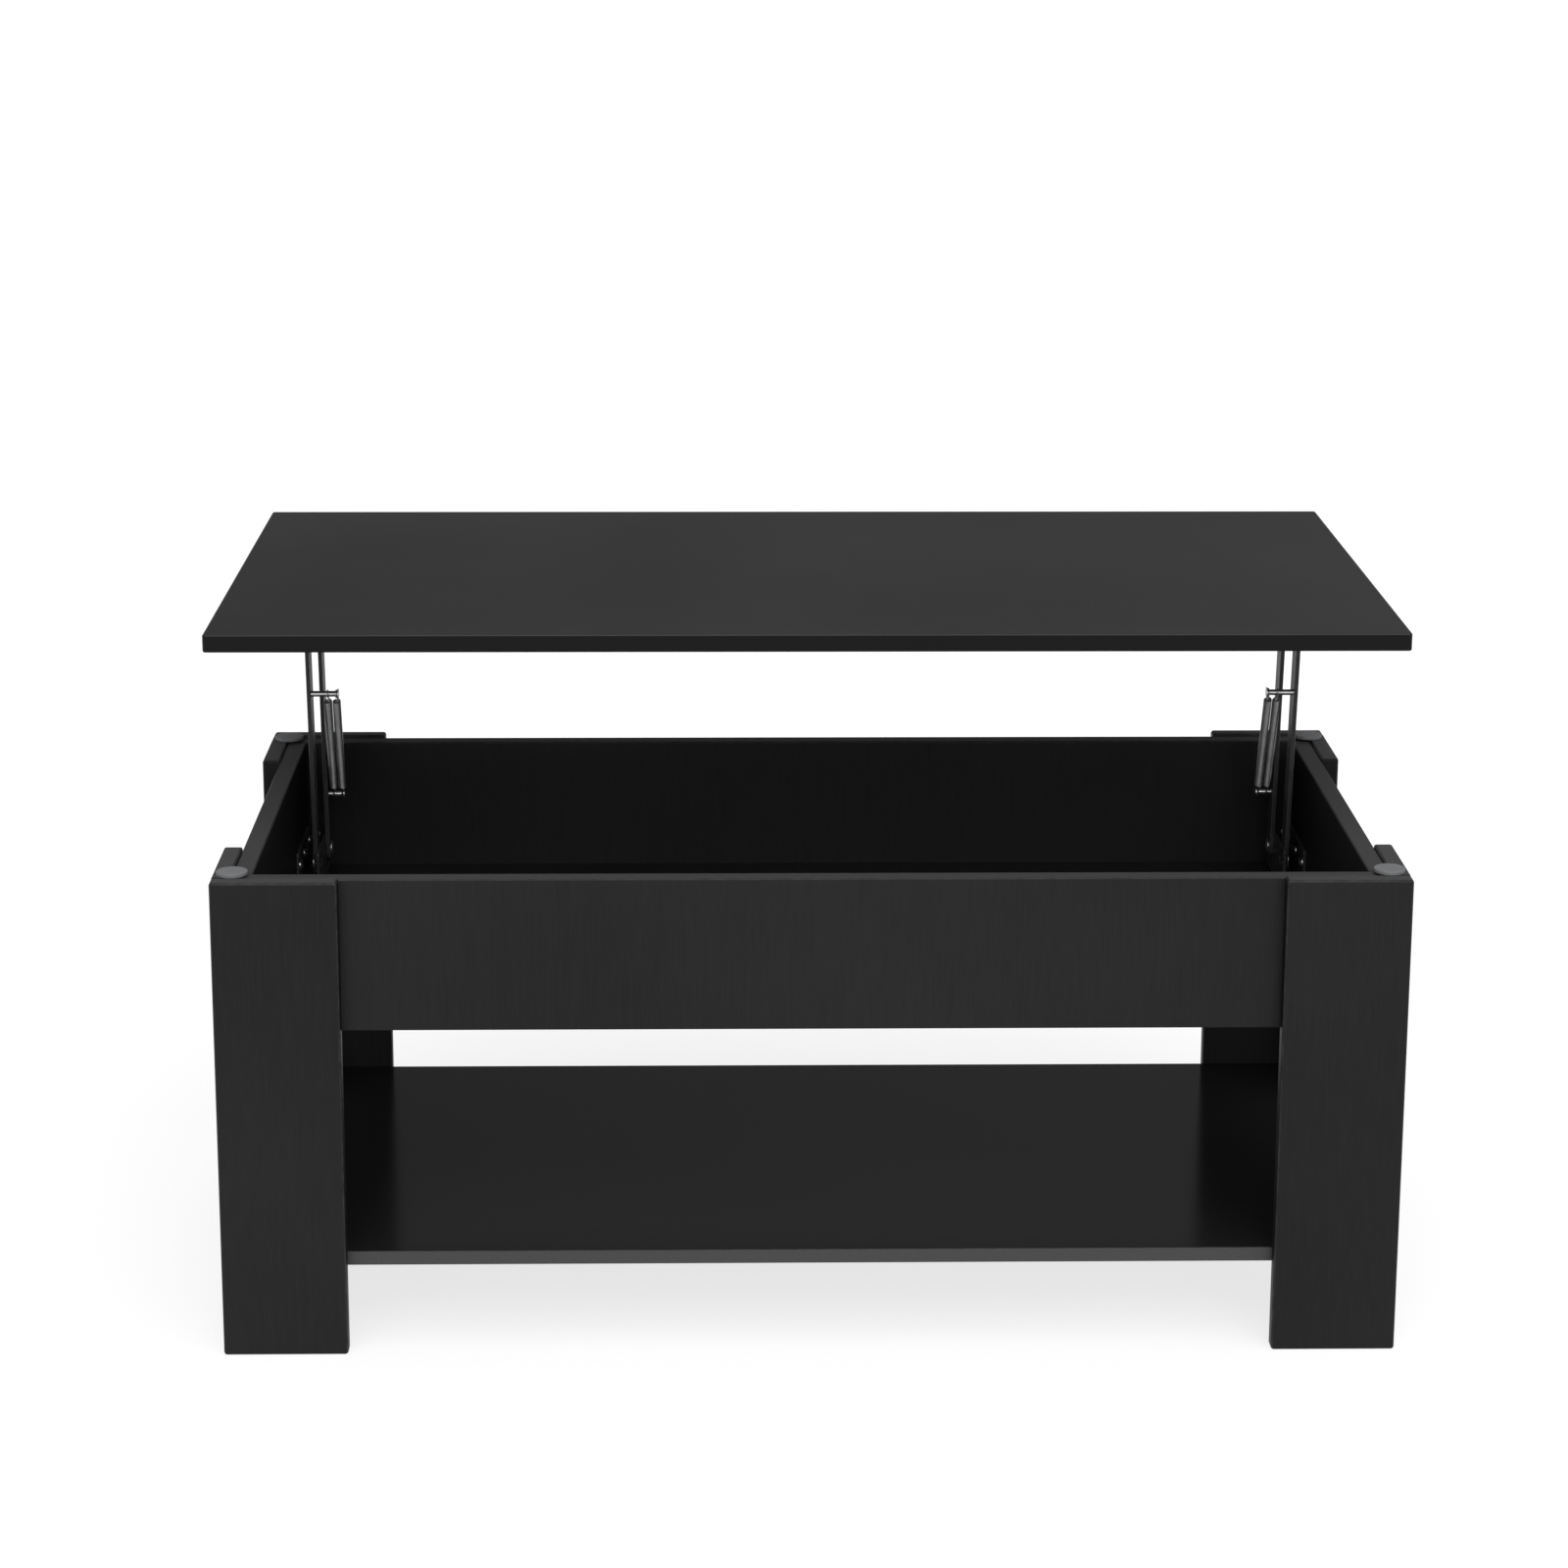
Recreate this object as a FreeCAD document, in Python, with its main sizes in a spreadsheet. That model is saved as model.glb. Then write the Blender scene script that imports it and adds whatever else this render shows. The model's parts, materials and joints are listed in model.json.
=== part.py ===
"""Lift top coffee table: a panel base on four corner legs, an open shelf, a storage box,
and a one-piece lid carried by a parallelogram lift with tension springs on each side.

Millimetres, +Z up, +X to the right along the table, +Y towards the side the raised lid moves to.
The origin is on the floor, under the middle of the box that holds the table with its lid raised.
"""
import FreeCAD, Part
import math
import os
import Sketcher

doc = FreeCAD.newDocument("LiftTopCoffeeTable")
V = FreeCAD.Vector

# ---------------------------------------------------------------- driving dimensions
DIMENSIONS = [
    # lid
    ("lidLength", 985), ("lidWidth", 500), ("lidThickness", 15), ("lidCornerRound", 3),
    ("lidEdgeRound", 1.5),
    # base
    ("baseLength", 945), ("baseWidth", 460), ("legHeight", 397), ("legFace", 100),
    ("legSide", 85), ("legThickness", 15), ("boardEdgeRound", 1.2),
    # storage box and shelf
    ("panelThickness", 16), ("apronHeight", 125), ("apronDrop", 2), ("floorThickness", 12),
    ("shelfThickness", 12), ("shelfTop", 83),
    # soft pads that the closed lid lands on
    ("padRadius", 12.5), ("padThickness", 3), ("padInset", 15.5), ("padSetback", 25),
    ("padEdgeRound", 0.8), ("closedGap", 0.3),
    # lift linkage
    ("armLength", 208.4), ("armHalfWidth", 10.5), ("armThickness", 3.5), ("raisedAngle", 82.4),
    ("pivotSpacing", 45), ("lowerPivotInset", 109), ("lowerPivotHeight", 307),
    ("lidPivotDrop", 31.5), ("pivotRadius", 4), ("pivotHeadRadius", 6.5),
    ("pivotHeadThickness", 1.8), ("pivotClearance", 0.05), ("armGap", 0.25),
    ("sheetThickness", 2), ("channelWidth", 19.5), ("channelHeight", 38),
    ("channelDrop", 24), ("channelLead", 21), ("channelLength", 90),
    ("flangeLead", 66), ("flangeLength", 230), ("flangeWidth", 22), ("webMargin", 10),
    ("webFoot", 9), ("stopRadius", 2), ("stopHeight", 22),
    # springs
    ("springPinHigh", 162.5), ("springPinOffset", 7), ("springPinLow", 52.4), ("springPinRadius", 2.5),
    ("springPinHeadRadius", 4.5), ("springPinHeadThickness", 1.5), ("springPinSpare", 0.5),
    ("coilRadius", 3.6), ("coilWire", 1.2), ("springHighOuter", 8.5), ("springHighInner", 15.9),
    ("springLowOuter", 4.4), ("springLowInner", 11.8), ("springNeck", 5), ("springClearance", 0.1),
    # screws
    ("screwHeadRadius", 4), ("screwHeadThickness", 2.2), ("screwRadius", 1.9), ("screwLength", 11),
    ("screwHoleRadius", 2.2), ("flangeScrewInset", 12), ("channelScrewInset", 14),
    ("channelScrewHeight", 26),
]
sheet = doc.addObject("Spreadsheet::Sheet", "Sizes")
for row, (alias, number) in enumerate(DIMENSIONS, start=1):
    sheet.set(f"A{row}", alias)
    sheet.set(f"B{row}", str(number))
    sheet.setAlias(f"B{row}", alias)
doc.recompute()


def size(alias):
    """The number in the sheet's cell of that alias."""
    return float(sheet.get(alias))


def cell(formula):
    """A formula on the sheet's aliases, such as '2 * lidLength', as an expression of the document."""
    words = []
    for word in formula.split():
        words.append(f"Sizes.{word}" if word in ALIASES else word)
    return " ".join(words)


ALIASES = {alias for alias, number in DIMENSIONS}

# ---------------------------------------------------------------- worked-out places
raised = math.radians(size("raisedAngle"))
closed_lid_bottom = size("legHeight") + size("padThickness") + size("closedGap")
closed_pivot_rise = closed_lid_bottom - size("lidPivotDrop") - size("lowerPivotHeight")
closed = math.asin(closed_pivot_rise / size("armLength"))
lid_shift = size("armLength") * (math.cos(closed) - math.cos(raised))
lid_rise = size("armLength") * (math.sin(raised) - math.sin(closed))
lid_bottom = closed_lid_bottom + lid_rise
side_overhang = (size("lidLength") - size("baseLength")) / 2
front_overhang = (size("lidWidth") - size("baseWidth")) / 2
lid_front = lid_shift - front_overhang
front = -(lid_front + size("lidWidth")) / 2
back = front + size("baseWidth")
half_base = size("baseLength") / 2
panel_line = half_base - size("legThickness")
inner_line = panel_line - size("panelThickness")
apron_bottom = size("legHeight") - size("apronDrop") - size("apronHeight")

along = V(0, -math.cos(raised), math.sin(raised))
across = V(0, math.sin(raised), math.cos(raised))
arm_turn = FreeCAD.Rotation(V(1, 0, 0), 90 - size("raisedAngle"))
lower_front = V(0, back - size("lowerPivotInset"), size("lowerPivotHeight"))
lower_rear = lower_front + V(0, size("pivotSpacing"), 0)
upper_front = lower_front + along * size("armLength")
upper_rear = lower_rear + along * size("armLength")
high_pin = lower_front + along * size("springPinHigh") - across * size("springPinOffset")
low_pin = lower_rear + along * size("springPinLow")
spring_line = (low_pin - high_pin).normalize()
spring_span = low_pin.distanceToPoint(high_pin)

# planes across the table, from the side panel inwards
web_outer = inner_line - size("channelWidth") + size("sheetThickness")
web_inner = web_outer - size("sheetThickness")
front_arm_inner = web_outer + size("armGap")
front_arm_outer = front_arm_inner + size("armThickness")
rear_arm_outer = web_inner - size("armGap")
rear_arm_inner = rear_arm_outer - size("armThickness")

nodes = []
SIDES = (("left", -1), ("right", 1))


# ---------------------------------------------------------------- building blocks
def new_body(name):
    """An empty body that will be a sub-part."""
    body = doc.addObject("PartDesign::Body", name)
    body.Label = name
    nodes.append(body)
    return body


def sketch_on(body, plane, name):
    """A sketch on one of the body's own origin planes."""
    sketch = body.newObject("Sketcher::SketchObject", f"{body.Name}_{name}")
    support = [f for f in body.Origin.OriginFeatures if f.Role == plane][0]
    sketch.AttachmentSupport = [(support, "")]
    sketch.MapMode = "FlatFace"
    return sketch


def bind(sketch, constraint, formula):
    """Add a dimension and tie it to a formula on the sheet."""
    index = sketch.addConstraint(constraint)
    sketch.setExpression(f"Constraints[{index}]", cell(formula))
    return index


def add_rectangle(sketch, wide, high, x_offset=None, y_offset=None):
    """A rectangle whose lowest corner is at the sketch's origin, or offset from it by formulas."""
    corners = [V(1, 1, 0), V(2, 1, 0), V(2, 2, 0), V(1, 2, 0)]
    first = sketch.GeometryCount
    for start, end in zip(corners, corners[1:] + corners[:1]):
        sketch.addGeometry(Part.LineSegment(start, end))
    for side in range(4):
        sketch.addConstraint(
            Sketcher.Constraint("Coincident", first + side, 2, first + (side + 1) % 4, 1)
        )
    sketch.addConstraint(Sketcher.Constraint("Horizontal", first))
    sketch.addConstraint(Sketcher.Constraint("Vertical", first + 1))
    sketch.addConstraint(Sketcher.Constraint("Horizontal", first + 2))
    sketch.addConstraint(Sketcher.Constraint("Vertical", first + 3))
    bind(sketch, Sketcher.Constraint("DistanceX", first, 1, first, 2, 1.0), wide)
    bind(sketch, Sketcher.Constraint("DistanceY", first + 1, 1, first + 1, 2, 1.0), high)
    if x_offset is None:
        sketch.addConstraint(Sketcher.Constraint("PointOnObject", first, 1, -2))
    else:
        bind(sketch, Sketcher.Constraint("DistanceX", -1, 1, first, 1, 1.0), x_offset)
    if y_offset is None:
        sketch.addConstraint(Sketcher.Constraint("PointOnObject", first, 1, -1))
    else:
        bind(sketch, Sketcher.Constraint("DistanceY", -1, 1, first, 1, 1.0), y_offset)


def add_circle(sketch, radius, x_offset, y_offset, x_now, y_now):
    """A circle centred at formula offsets from the origin; x_now and y_now only start the solver."""
    index = sketch.addGeometry(Part.Circle(V(x_now, y_now, 0), V(0, 0, 1), 1))
    bind(sketch, Sketcher.Constraint("Radius", index, 1.0), radius)
    for kind, formula, axis in (("DistanceX", x_offset, -2), ("DistanceY", y_offset, -1)):
        if formula is None:
            sketch.addConstraint(Sketcher.Constraint("PointOnObject", index, 3, axis))
        else:
            bind(sketch, Sketcher.Constraint(kind, -1, 1, index, 3, 1.0), formula)


def pad(body, sketch, depth):
    """Thicken a sketch by a formula."""
    feature = body.newObject("PartDesign::Pad", f"{sketch.Name}_pad")
    feature.Profile = sketch
    feature.setExpression("Length", cell(depth))
    doc.recompute()
    return feature


def pocket(body, sketch):
    """Cut a sketch through the whole body, both ways, and check that it removed something."""
    before = body.Shape.Volume
    feature = body.newObject("PartDesign::Pocket", f"{sketch.Name}_cut")
    feature.Profile = sketch
    feature.Type = 1
    feature.Midplane = True
    doc.recompute()
    if body.Shape.Volume > before - 0.1:
        raise RuntimeError(f"{sketch.Name} cuts nothing")
    return feature


def round_edges(body, chosen, radius, name):
    """Round the edges of the body's tip that the test picks."""
    tip = body.Tip
    names = [f"Edge{i}" for i, edge in enumerate(tip.Shape.Edges, start=1) if chosen(edge)]
    feature = body.newObject("PartDesign::Fillet", f"{body.Name}_{name}")
    feature.Base = (tip, names)
    feature.setExpression("Radius", cell(radius))
    doc.recompute()
    return feature


def runs_along(edge, axis):
    """True if the edge is a straight line along the axis."""
    if edge.Curve.TypeId != "Part::GeomLine":
        return False
    return abs(abs(edge.Curve.Direction.dot(axis)) - 1) < 1e-6


def board(name, wide, deep, thick, place, edge_round="boardEdgeRound"):
    """A flat board, wide along X, deep along Y and thick along Z, with its edges eased."""
    body = new_body(name)
    sketch = sketch_on(body, "XY_Plane", "outline")
    add_rectangle(sketch, wide, deep)
    pad(body, sketch, thick)
    round_edges(body, lambda edge: True, edge_round, "eased")
    body.Placement = FreeCAD.Placement(place, FreeCAD.Rotation())
    return body


def turned(name, parts):
    """A group of turned pieces, each a list of coaxial sections that are fused to one solid.

    A section is (start point, radius formula, length formula, direction as a rotation).
    """
    group = []
    for number, sections in enumerate(parts):
        solids = []
        for step, (start, radius, length, rotation) in enumerate(sections):
            rod = doc.addObject("Part::Cylinder", f"{name}_{number}_{step}")
            rod.setExpression("Radius", cell(radius))
            rod.setExpression("Height", cell(length))
            rod.Placement = FreeCAD.Placement(start, rotation)
            solids.append(rod)
        if len(solids) == 1:
            group.append(solids[0])
        else:
            fused = doc.addObject("Part::MultiFuse", f"{name}_{number}")
            fused.Shapes = solids
            group.append(fused)
    compound = doc.addObject("Part::Compound", name)
    compound.Links = group
    compound.Label = name
    nodes.append(compound)
    return compound


INWARDS = {1: FreeCAD.Rotation(V(0, 1, 0), -90), -1: FreeCAD.Rotation(V(0, 1, 0), 90)}
OUTWARDS = {1: INWARDS[-1], -1: INWARDS[1]}
UPWARDS = FreeCAD.Rotation()


def at(point, sign, x):
    """The point with its distance from the table's middle plane set to x, on the side of sign."""
    return V(sign * x, point.y, point.z)


# ---------------------------------------------------------------- lid
def make_lid():
    """One board with rounded corners and eased edges."""
    body = new_body("lid")
    sketch = sketch_on(body, "XY_Plane", "outline")
    add_rectangle(sketch, "lidLength", "lidWidth")
    pad(body, sketch, "lidThickness")
    round_edges(body, lambda edge: runs_along(edge, V(0, 0, 1)), "lidCornerRound", "corners")
    round_edges(body, lambda edge: not runs_along(edge, V(0, 0, 1)), "lidEdgeRound", "edges")
    corner = V(-size("lidLength") / 2, front + lid_front, lid_bottom)
    body.Placement = FreeCAD.Placement(corner, FreeCAD.Rotation())


# ---------------------------------------------------------------- legs
def make_legs():
    """Each leg is an L of two boards: one faces front or back, the other faces the side."""
    for depth, y_sign in (("front", 1), ("back", -1)):
        for side, sign in SIDES:
            x_low = half_base - size("legFace") if sign > 0 else -half_base
            y_low = front if y_sign > 0 else back - size("legThickness")
            board(f"leg_face_{depth}_{side}", "legFace", "legThickness", "legHeight",
                  V(x_low, y_low, 0))
            x_low = panel_line if sign > 0 else -half_base
            if y_sign > 0:
                y_low = front + size("legThickness")
            else:
                y_low = back - size("legThickness") - size("legSide")
            board(f"leg_side_{depth}_{side}", "legThickness", "legSide", "legHeight",
                  V(x_low, y_low, 0))


# ---------------------------------------------------------------- storage box and shelf
def make_box():
    """Front and back aprons behind the leg faces, side panels between them, a floor and a shelf."""
    apron_length = "baseLength - 2 * legThickness"
    side_length = "baseWidth - 2 * legThickness - 2 * panelThickness"
    apron_front = front + size("legThickness")
    apron_back = back - size("legThickness") - size("panelThickness")
    board("apron_front", apron_length, "panelThickness", "apronHeight",
          V(-panel_line, apron_front, apron_bottom))
    board("apron_back", apron_length, "panelThickness", "apronHeight",
          V(-panel_line, apron_back, apron_bottom))
    side_front = apron_front + size("panelThickness")
    for side, sign in SIDES:
        x_low = inner_line if sign > 0 else -panel_line
        board(f"side_panel_{side}", "panelThickness", side_length, "apronHeight",
              V(x_low, side_front, apron_bottom))
    board("box_floor", "baseLength - 2 * legThickness - 2 * panelThickness", side_length,
          "floorThickness", V(-inner_line, side_front, apron_bottom))
    board("shelf", apron_length, "baseWidth - 2 * legThickness", "shelfThickness",
          V(-panel_line, apron_front, size("shelfTop") - size("shelfThickness")))


def make_lid_pads():
    """Round soft pads on the leg tops, one at each corner, with an eased top edge."""
    pads = []
    for y_sign in (1, -1):
        for side, sign in SIDES:
            name = f"lid_pads_{'front' if y_sign > 0 else 'back'}_{side}"
            disc = doc.addObject("Part::Cylinder", name)
            disc.setExpression("Radius", cell("padRadius"))
            disc.setExpression("Height", cell("padThickness"))
            y = front + size("padSetback") if y_sign > 0 else back - size("padSetback")
            x = sign * (half_base - size("padInset"))
            disc.Placement = FreeCAD.Placement(V(x, y, size("legHeight")), FreeCAD.Rotation())
            doc.recompute()
            rim = [
                (number, size("padEdgeRound"), size("padEdgeRound"))
                for number, edge in enumerate(disc.Shape.Edges, start=1)
                if edge.Curve.TypeId == "Part::GeomCircle"
                and edge.BoundBox.ZMin > size("legHeight") + size("padThickness") / 2
            ]
            eased = doc.addObject("Part::Fillet", f"{name}_eased")
            eased.Base = disc
            eased.Edges = rim
            pads.append(eased)
    group = doc.addObject("Part::Compound", "lid_pads")
    group.Links = pads
    group.Label = "lid_pads"
    nodes.append(group)


# ---------------------------------------------------------------- lift linkage
def make_arm(name, x_low, pivot, holes):
    """A flat bar with round ends along its own Z, with its lower pivot at its origin.

    holes are (radius, distance along, distance across) formulas besides the two pivot bores.
    """
    body = new_body(name)
    sketch = sketch_on(body, "YZ_Plane", "outline")
    half, length = size("armHalfWidth"), size("armLength")
    sketch.addGeometry(Part.ArcOfCircle(Part.Circle(V(0, 0, 0), V(0, 0, 1), half), math.pi, 2 * math.pi))
    sketch.addGeometry(Part.LineSegment(V(half, 0, 0), V(half, length, 0)))
    sketch.addGeometry(Part.ArcOfCircle(Part.Circle(V(0, length, 0), V(0, 0, 1), half), 0, math.pi))
    sketch.addGeometry(Part.LineSegment(V(-half, length, 0), V(-half, 0, 0)))
    sketch.addConstraint(Sketcher.Constraint("Tangent", 0, 2, 1, 1))
    sketch.addConstraint(Sketcher.Constraint("Tangent", 1, 2, 2, 1))
    sketch.addConstraint(Sketcher.Constraint("Tangent", 2, 2, 3, 1))
    sketch.addConstraint(Sketcher.Constraint("Tangent", 3, 2, 0, 1))
    sketch.addConstraint(Sketcher.Constraint("Coincident", 0, 3, -1, 1))
    sketch.addConstraint(Sketcher.Constraint("PointOnObject", 2, 3, -2))
    bind(sketch, Sketcher.Constraint("Radius", 0, half), "armHalfWidth")
    bind(sketch, Sketcher.Constraint("DistanceY", 0, 3, 2, 3, length), "armLength")
    pad(body, sketch, "armThickness")
    bores = sketch_on(body, "YZ_Plane", "bores")
    bore = "pivotRadius + pivotClearance"
    add_circle(bores, bore, None, None, 0, 0)
    add_circle(bores, bore, None, "armLength", 0, length)
    for radius, up, over in holes:
        add_circle(bores, radius, over, up, -1 if over else 0, length / 2)
    pocket(body, bores)
    body.Placement = FreeCAD.Placement(V(x_low, pivot.y, pivot.z), arm_turn)
    return body


def make_arms():
    """The front arms outside the bracket webs and the rear arms inside them, on both sides."""
    pin_hole = "springPinRadius + pivotClearance"
    for side, sign in SIDES:
        x_low = front_arm_inner if sign > 0 else -front_arm_outer
        make_arm(f"front_arm_{side}", x_low, lower_front,
                 [(pin_hole, "springPinHigh", "0 - springPinOffset")])
        x_low = rear_arm_inner if sign > 0 else -rear_arm_outer
        make_arm(f"rear_arm_{side}", x_low, lower_rear, [(pin_hole, "springPinLow", None)])


def make_base_brackets():
    """A channel open at the top: one wall is screwed to the side panel, the other holds the pivots."""
    channel_start = lower_front.y - size("channelLead")
    channel_low = lower_front.z - size("channelDrop")
    for side, sign in SIDES:
        body = new_body(f"base_bracket_{side}")
        block = sketch_on(body, "YZ_Plane", "outline")
        add_rectangle(block, "channelLength", "channelHeight")
        pad(body, block, "channelWidth")
        trough = sketch_on(body, "XZ_Plane", "trough")
        add_rectangle(trough, "channelWidth - 2 * sheetThickness", "channelHeight",
                      "sheetThickness", "sheetThickness")
        pocket(body, trough)
        round_edges(body, at_channel_top, "sheetThickness", "corners")
        bores = sketch_on(body, "YZ_Plane", "bores")
        bore = "pivotRadius + pivotClearance"
        add_circle(bores, bore, "channelLead", "channelDrop", 20, 20)
        add_circle(bores, bore, "channelLead + pivotSpacing", "channelDrop", 60, 20)
        for over in CHANNEL_SCREWS:
            add_circle(bores, "screwHoleRadius", over, "channelScrewHeight", 30, 20)
        pocket(body, bores)
        x_low = inner_line - size("channelWidth") if sign > 0 else -inner_line
        body.Placement = FreeCAD.Placement(V(x_low, channel_start, channel_low), FreeCAD.Rotation())


def at_channel_top(edge):
    """True for the edges across the sheet at the top corners of the channel's two walls."""
    return runs_along(edge, V(1, 0, 0)) and edge.BoundBox.ZMin > size("channelHeight") / 2


CHANNEL_SCREWS = ("channelScrewInset / 2", "channelLead + pivotSpacing / 2",
                  "channelLength - channelScrewInset / 2")


def make_lid_brackets():
    """An angle: a long flange under the lid and a web that hangs down to the upper pivots."""
    web_start = upper_front.y - size("webMargin")
    web_low = upper_front.z - size("webFoot")
    flange_start = upper_front.y - size("flangeLead")
    for side, sign in SIDES:
        body = new_body(f"lid_bracket_{side}")
        web = sketch_on(body, "YZ_Plane", "web")
        add_rectangle(web, "pivotSpacing + 2 * webMargin", "lidPivotDrop + webFoot")
        pad(body, web, "sheetThickness")
        round_edges(body, lambda edge: runs_along(edge, V(1, 0, 0)) and edge.BoundBox.ZMax < 1,
                    "webFoot - 0.5", "foot")
        flange = sketch_on(body, "XY_Plane", "flange")
        shift = flange_start - web_start
        x_shift = None if sign > 0 else "sheetThickness - flangeWidth"
        add_rectangle(flange, "flangeWidth", "flangeLength", x_shift, "webMargin - flangeLead")
        flange.setExpression("AttachmentOffset.Base.z",
                             cell("lidPivotDrop + webFoot - sheetThickness"))
        pad(body, flange, "sheetThickness")
        bores = sketch_on(body, "YZ_Plane", "bores")
        bore = "pivotRadius + pivotClearance"
        add_circle(bores, bore, "webMargin", "webFoot", 10, 10)
        add_circle(bores, bore, "webMargin + pivotSpacing", "webFoot", 50, 10)
        pocket(body, bores)
        holes = sketch_on(body, "XY_Plane", "screw_holes")
        middle = "flangeWidth / 2" if sign > 0 else "sheetThickness - flangeWidth / 2"
        for over in FLANGE_SCREWS:
            add_circle(holes, "screwHoleRadius", middle, over, sign * 11, shift + 30)
        pocket(body, holes)
        x_low = web_inner if sign > 0 else -web_outer
        body.Placement = FreeCAD.Placement(V(x_low, web_start, web_low), FreeCAD.Rotation())


FLANGE_SCREWS = ("webMargin - flangeLead + flangeScrewInset", "0 - flangeScrewInset",
                 "pivotSpacing + 2 * webMargin + flangeScrewInset",
                 "webMargin - flangeLead + flangeLength - flangeScrewInset")


def make_pivots():
    """Shouldered pivots: flush with the web on one face, with a flat head outside the arm."""
    shaft = "sheetThickness + 2 * armGap + armThickness"
    groups = (("lower_front_pivots", lower_front, True), ("lower_rear_pivots", lower_rear, False),
              ("upper_front_pivots", upper_front, True), ("upper_rear_pivots", upper_rear, False))
    for name, centre, outer in groups:
        parts = []
        for side, sign in SIDES:
            start = web_inner if outer else web_outer
            way = OUTWARDS[sign] if outer else INWARDS[sign]
            reach = size("sheetThickness") + 2 * size("armGap") + size("armThickness")
            head = start + reach if outer else start - reach
            parts.append([
                (at(centre, sign, start), "pivotRadius", shaft, way),
                (at(centre, sign, head), "pivotHeadRadius", "pivotHeadThickness", way),
            ])
        turned(name, parts)


def make_stops():
    """A peg on each base bracket's web that the front arm comes to rest against when raised."""
    parts = []
    reach = size("armHalfWidth") + size("stopRadius") + size("closedGap")
    place = lower_front + along * size("stopHeight") + across * reach
    for side, sign in SIDES:
        parts.append([
            (at(place, sign, web_outer), "stopRadius", "armGap + armThickness", OUTWARDS[sign])
        ])
    turned("stop_pegs", parts)


# ---------------------------------------------------------------- springs
def make_spring_pins():
    """The cross pins that the springs hook on: high on the front arms, low on the rear arms."""
    past_spring = size("coilWire") / 2 + size("springPinSpare")
    low_bar = "springLowInner + coilWire / 2 + springPinSpare + armThickness"
    high_bar = ("springHighInner + coilWire / 2 + springPinSpare + 2 * armThickness + 2 * armGap"
                " + sheetThickness")
    for name, centre, outer, inset, bar in (
        ("spring_pins_high", high_pin, front_arm_outer, "springHighInner", high_bar),
        ("spring_pins_low", low_pin, rear_arm_outer, "springLowInner", low_bar),
    ):
        end = rear_arm_inner - size(inset) - past_spring
        parts = []
        for side, sign in SIDES:
            parts.append([
                (at(centre, sign, outer), "springPinRadius", bar, INWARDS[sign]),
                (at(centre, sign, end), "springPinHeadRadius", "springPinHeadThickness",
                 INWARDS[sign]),
            ])
        turned(name, parts)


def make_springs():
    """Each spring is a close-wound coil with an eye at each end, in line between its two pins."""
    eye = size("springPinRadius") + size("springClearance") + size("coilWire") / 2
    lines = []
    for side, sign in SIDES:
        for high_inset, low_inset in (("springHighOuter", "springLowOuter"),
                                      ("springHighInner", "springLowInner")):
            lines.append((at(high_pin, sign, rear_arm_inner - size(high_inset)),
                          at(low_pin, sign, rear_arm_inner - size(low_inset))))
    for name, way in (("spring_hooks_high", 1), ("spring_hooks_low", -1)):
        group = []
        for number, (high_end, low_end) in enumerate(lines):
            centre = high_end if way > 0 else low_end
            line = (low_end - high_end).normalize()
            ring = doc.addObject("Part::Torus", f"{name}_ring_{number}")
            ring.setExpression("Radius1", cell("springPinRadius + springClearance + coilWire / 2"))
            ring.setExpression("Radius2", cell("coilWire / 2"))
            ring.Placement = FreeCAD.Placement(centre, FreeCAD.Rotation(V(0, 1, 0), 90))
            neck = doc.addObject("Part::Cylinder", f"{name}_neck_{number}")
            neck.setExpression("Radius", cell("coilWire / 2"))
            neck.setExpression("Height", cell("springNeck + coilWire / 4"))
            turn = FreeCAD.Rotation(V(0, 0, 1), line * way)
            neck.Placement = FreeCAD.Placement(centre + line * (way * eye), turn)
            disc = doc.addObject("Part::Cylinder", f"{name}_disc_{number}")
            disc.setExpression("Radius", cell("coilRadius"))
            disc.setExpression("Height", cell("coilWire"))
            disc_start = centre + line * (way * (eye + size("springNeck")))
            disc.Placement = FreeCAD.Placement(disc_start, turn)
            hook = doc.addObject("Part::MultiFuse", f"{name}_{number}")
            hook.Shapes = [ring, neck, disc]
            group.append(hook)
        compound = doc.addObject("Part::Compound", name)
        compound.Links = group
        compound.Label = name
        nodes.append(compound)
    margin = eye + size("springNeck") + size("coilWire")
    coils = []
    for number, (high_end, low_end) in enumerate(lines):
        line = (low_end - high_end).normalize()
        reach = low_end.distanceToPoint(high_end)
        outer = doc.addObject("Part::Cylinder", f"coil_outer_{number}")
        outer.setExpression("Radius", cell("coilRadius"))
        outer.Height = reach - 2 * margin
        inner = doc.addObject("Part::Cylinder", f"coil_inner_{number}")
        inner.setExpression("Radius", cell("coilRadius - coilWire"))
        inner.Height = reach - 2 * margin
        for rod in (outer, inner):
            turn = FreeCAD.Rotation(V(0, 0, 1), line)
            rod.Placement = FreeCAD.Placement(high_end + line * margin, turn)
        tube = doc.addObject("Part::Cut", f"coil_{number}")
        tube.Base = outer
        tube.Tool = inner
        coils.append(tube)
    compound = doc.addObject("Part::Compound", "spring_coils")
    compound.Links = coils
    compound.Label = "spring_coils"
    nodes.append(compound)


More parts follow.
